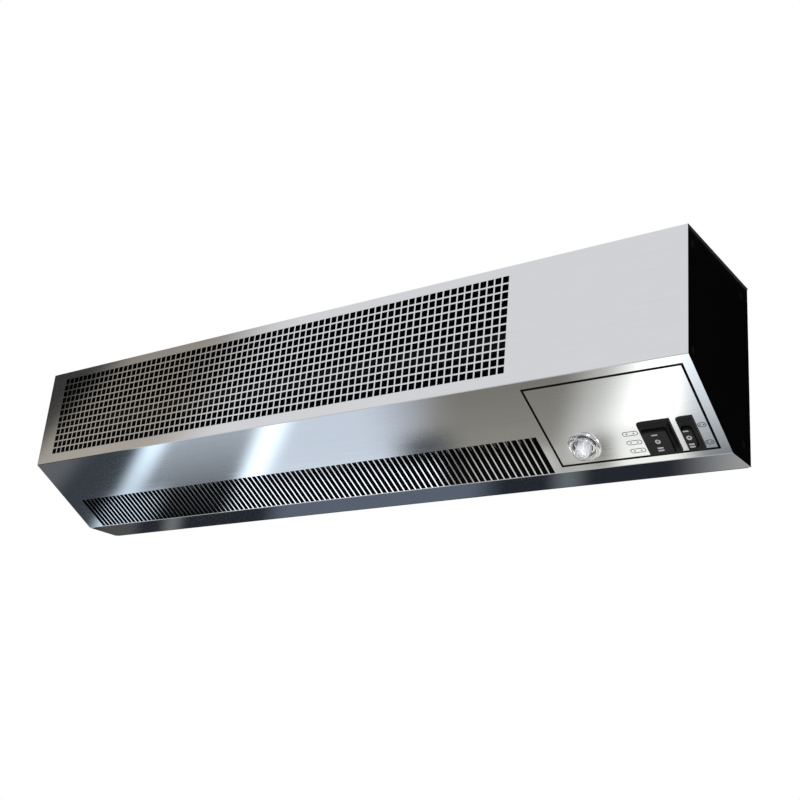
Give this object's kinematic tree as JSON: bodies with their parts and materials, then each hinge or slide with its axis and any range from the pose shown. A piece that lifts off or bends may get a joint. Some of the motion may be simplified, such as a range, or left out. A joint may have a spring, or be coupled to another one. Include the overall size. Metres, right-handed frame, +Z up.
{
  "type": "air curtain",
  "caption": "Wall-mounted warm-air curtain with a stainless casing, square-punched intake, slotted sloped outlet, tangential fan, rocker switches and a movement sensor.",
  "frame": {"origin": "middle of the four wall fixing holes, in the plane of the wall", "axes": "+X along the casing to the end with the controls, +Y towards the wall, +Z up"},
  "size_m": [0.72, 0.1189, 0.1646],
  "materials": {
    "stainless_steel": "fine satin grain",
    "black_coated_steel": "matt black",
    "black_plastic": "satin black",
    "dark_moulding": "matt dark grey",
    "black_rubber": "matt",
    "bronze": "sintered",
    "plain_steel": "bright zinc",
    "black_screws": "black zinc",
    "coil_tape": "yellow tape",
    "cast_aluminium": "as cast",
    "heater_steel": "heat-tinted",
    "pale_insulator": "ivory",
    "circuit_board": "green lacquer",
    "plated_brass": "tinned",
    "clear_plastic": "clear",
    "frosted_plastic": "milky, faceted",
    "white_marks": "white"
  },
  "bodies": {
    "casing": {"intake_panel": "stainless_steel", "outlet_panel": "stainless_steel", "top_panel": "stainless_steel", "rear_chassis": "black_coated_steel", "left_end_cap": "black_plastic", "right_end_cap": "black_plastic", "cap_screws": "black_screws", "cover_screws": "plain_steel", "bearing_plate": "black_coated_steel", "motor_partition": "black_coated_steel", "scroll_wall": "black_coated_steel", "vortex_tongue": "black_coated_steel", "bearing_rubber": "black_rubber", "bearing_bush": "bronze", "motor_core": "plain_steel", "motor_coil": "coil_tape", "inner_bracket": "cast_aluminium", "outer_bracket": "cast_aluminium", "motor_posts": "plain_steel", "heating_element": "heater_steel", "front_fins": "heater_steel", "rear_fins": "heater_steel", "heater_bracket": "heater_steel", "heater_bushes": "pale_insulator", "thermal_cutout": "dark_moulding", "terminal_block": "pale_insulator", "terminal_screws": "plain_steel", "control_board": "circuit_board", "board_parts": "dark_moulding", "board_standoffs": "pale_insulator", "control_panel": "stainless_steel", "panel_seal": "black_rubber", "main_switch": "black_plastic", "main_switch_tabs": "plated_brass", "small_switch": "black_plastic", "small_switch_tabs": "plated_brass", "sensor_collar": "clear_plastic", "sensor_dome": "clear_plastic", "sensor_lens": "frosted_plastic", "sensor_holder": "black_plastic", "sensor_board": "circuit_board", "sensor_can": "plain_steel", "gland_body": "black_plastic", "gland_nut": "black_plastic", "gland_locknut": "black_plastic"},
    "fan": {"impeller": "dark_moulding", "stub_shaft": "plain_steel", "drive_hub": "dark_moulding", "motor_shaft": "plain_steel", "motor_rotor": "plain_steel"},
    "main_rocker": {"main_rocker": "black_plastic", "main_rocker_marks": "white_marks"},
    "small_rocker": {"small_rocker": "black_plastic", "small_rocker_marks": "white_marks"}
  },
  "joints": [
    {"name": "fan_spin", "type": "hinge", "parent": "casing", "child": "fan", "pos_m": [0, -0.0569, 0.01455], "axis": [1, 0, 0], "continuous": true},
    {"name": "main_rocker_tilt", "type": "hinge", "parent": "casing", "child": "main_rocker", "pos_m": [0.31195, -0.057, -0.06101], "axis": [1, 0, 0], "range_deg": [-10, 10]},
    {"name": "small_rocker_tilt", "type": "hinge", "parent": "casing", "child": "small_rocker", "pos_m": [0.3363, -0.057, -0.06101], "axis": [1, 0, 0], "range_deg": [-10, 10]}
  ]
}
